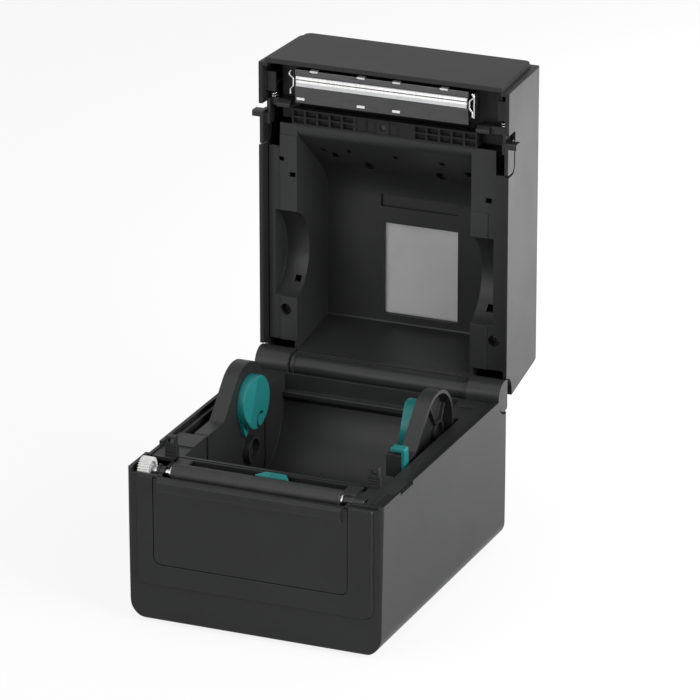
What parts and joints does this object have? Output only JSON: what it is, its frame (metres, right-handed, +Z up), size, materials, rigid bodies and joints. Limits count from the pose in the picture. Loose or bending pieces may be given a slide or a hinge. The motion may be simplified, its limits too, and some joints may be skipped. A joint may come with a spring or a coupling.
{
  "type": "receipt printer",
  "caption": "Desktop thermal label and receipt printer with its lid open: roll bay with sliding holders, platen, print head in the hinged lid, release levers.",
  "frame": {"origin": "centre of the bounding box's bottom face, on the table under the feet, with the lid standing open", "axes": "X to the right seen from the front, Y from the front of the case to its back, Z up"},
  "size_m": [0.179, 0.2707, 0.3043],
  "materials": {
    "case_plastic": "fine spark texture, satin",
    "tray_plastic": "moulded, semi-matt",
    "foot_rubber": "matt",
    "zinc_steel": "zinc plated",
    "shaft_steel": "ground",
    "platen_rubber": "ground rubber",
    "bush_plastic": "moulded",
    "white_plastic": "moulded acetal",
    "brass_pinion": "machined",
    "motor_steel": "black oxide and plated steel",
    "teal_plastic": "moulded, satin",
    "circuit_board": "solder mask",
    "gloss_black": "gloss",
    "smoke_window": "frosted inside",
    "head_aluminium": "extruded",
    "ceramic_strip": "glazed ceramic",
    "head_cover": "black coated steel",
    "spring_steel": "bright spring wire",
    "light_pipe": "clear tinted"
  },
  "bodies": {
    "base": {"base_shell": "case_plastic", "front_panel": "case_plastic", "front_cover": "case_plastic", "rubber_feet": "foot_rubber", "case_screws": "zinc_steel", "media_tray": "tray_plastic", "hinge_pins": "zinc_steel", "mechanism_frame": "tray_plastic", "platen_bushes": "bush_plastic", "idler_pin": "zinc_steel", "stepper_motor": "motor_steel", "latch_catches": "tray_plastic", "paper_guide": "tray_plastic", "sensor_rail": "shaft_steel", "rack_plate": "zinc_steel", "main_board": "circuit_board", "board_parts": "bush_plastic", "power_inlet": "bush_plastic", "usb_port": "zinc_steel", "switch_housing": "bush_plastic"},
    "lid": {"lid_shell": "case_plastic", "lid_front_cover": "case_plastic", "lid_liner": "tray_plastic", "media_window": "smoke_window", "lid_screws": "zinc_steel", "head_carrier": "tray_plastic", "gap_receiver": "gloss_black", "lever_spring_left": "spring_steel", "lever_spring_right": "spring_steel", "status_light": "light_pipe", "panel_board": "circuit_board"},
    "platen": {"platen_shaft": "shaft_steel", "platen_rubber": "platen_rubber", "platen_gear": "white_plastic"},
    "idler": {"idler_gear": "white_plastic"},
    "motor_rotor": {"motor_pinion": "brass_pinion", "motor_shaft": "shaft_steel"},
    "left_holder_body": {"left_holder": "tray_plastic", "left_rack": "bush_plastic"},
    "right_holder_body": {"right_holder": "tray_plastic", "right_rack": "bush_plastic"},
    "left_hub_body": {"left_hub": "teal_plastic"},
    "right_hub_body": {"right_hub": "teal_plastic"},
    "centring_pinion_body": {"centring_pinion": "white_plastic"},
    "lock": {"holder_lock": "teal_plastic"},
    "sensor": {"sensor_carriage": "tray_plastic", "media_sensor": "teal_plastic"},
    "lever_left": {"release_lever_left": "tray_plastic"},
    "lever_right": {"release_lever_right": "tray_plastic"},
    "print_head": {"head_heatsink": "head_aluminium", "thermal_strip": "ceramic_strip", "head_plates": "head_cover", "head_tabs": "white_plastic", "head_clips": "spring_steel", "head_springs": "spring_steel"},
    "button": {"feed_button": "case_plastic"},
    "rocker": {"power_rocker": "gloss_black"}
  },
  "joints": [
    {"name": "lid_hinge", "type": "hinge", "parent": "base", "child": "lid", "pos_m": [0, 0.07065, 0.1013], "axis": [1, 0, 0], "range_deg": [0, 90]},
    {"name": "platen_spin", "type": "hinge", "parent": "base", "child": "platen", "pos_m": [0, -0.11985, 0.0974], "axis": [1, 0, 0], "continuous": true},
    {"name": "idler_spin", "type": "hinge", "parent": "base", "child": "idler", "pos_m": [0, -0.11385, 0.0799], "axis": [1, 0, 0], "continuous": true},
    {"name": "motor_spin", "type": "hinge", "parent": "base", "child": "motor_rotor", "pos_m": [0, -0.11285, 0.06543], "axis": [1, 0, 0], "continuous": true},
    {"name": "left_holder_slide", "type": "slide", "parent": "base", "child": "left_holder_body", "axis": [1, 0, 0], "range_m": [0, 0.046]},
    {"name": "right_holder_slide", "type": "slide", "parent": "base", "child": "right_holder_body", "axis": [-1, 0, 0], "range_m": [0, 0.046]},
    {"name": "centring_pinion_spin", "type": "hinge", "parent": "base", "child": "centring_pinion_body", "pos_m": [-0.0024, 0.00915, 0.031], "axis": [0, 0, 1], "continuous": true},
    {"name": "left_hub_spin", "type": "hinge", "parent": "left_holder_body", "child": "left_hub_body", "pos_m": [-0.058, 0.00065, 0.101], "axis": [1, 0, 0], "continuous": true},
    {"name": "right_hub_spin", "type": "hinge", "parent": "right_holder_body", "child": "right_hub_body", "pos_m": [0.053, 0.00065, 0.101], "axis": [1, 0, 0], "continuous": true},
    {"name": "holder_lock_slide", "type": "slide", "parent": "right_holder_body", "child": "lock", "axis": [0, 0, 1], "range_m": [-0.0016, 0]},
    {"name": "sensor_slide", "type": "slide", "parent": "base", "child": "sensor", "axis": [1, 0, 0], "range_m": [-0.043, 0.035]},
    {"name": "release_left", "type": "slide", "parent": "lid", "child": "lever_left", "axis": [0, 0, 1], "range_m": [0, 0.004], "stiffness_N_per_m": 300, "springref_m": -0.004, "deforming": ["lever_spring_left"]},
    {"name": "release_right", "type": "slide", "parent": "lid", "child": "lever_right", "axis": [0, 0, 1], "range_m": [0, 0.004], "stiffness_N_per_m": 300, "springref_m": -0.004, "deforming": ["lever_spring_right"]},
    {"name": "head_float", "type": "slide", "parent": "lid", "child": "print_head", "axis": [0, 1, 0], "range_m": [0, 0.0012], "stiffness_N_per_m": 3000, "springref_m": -0.002},
    {"name": "feed_press", "type": "slide", "parent": "lid", "child": "button", "axis": [0, -1, 0], "range_m": [0, 0.001], "stiffness_N_per_m": 400, "springref_m": -0.001},
    {"name": "power_rock", "type": "hinge", "parent": "base", "child": "rocker", "pos_m": [-0.052, 0.07115, 0.03], "axis": [-1, 0, 0], "range_deg": [0, 14]}
  ],
  "couplings": [
    {"joint": "idler_spin", "follows": "platen_spin", "ratio": -0.68182},
    {"joint": "motor_spin", "follows": "platen_spin", "ratio": 2.1429},
    {"joint": "right_holder_slide", "follows": "left_holder_slide", "ratio": 1},
    {"joint": "centring_pinion_spin", "follows": "left_holder_slide", "rad_per_m": 125}
  ]
}
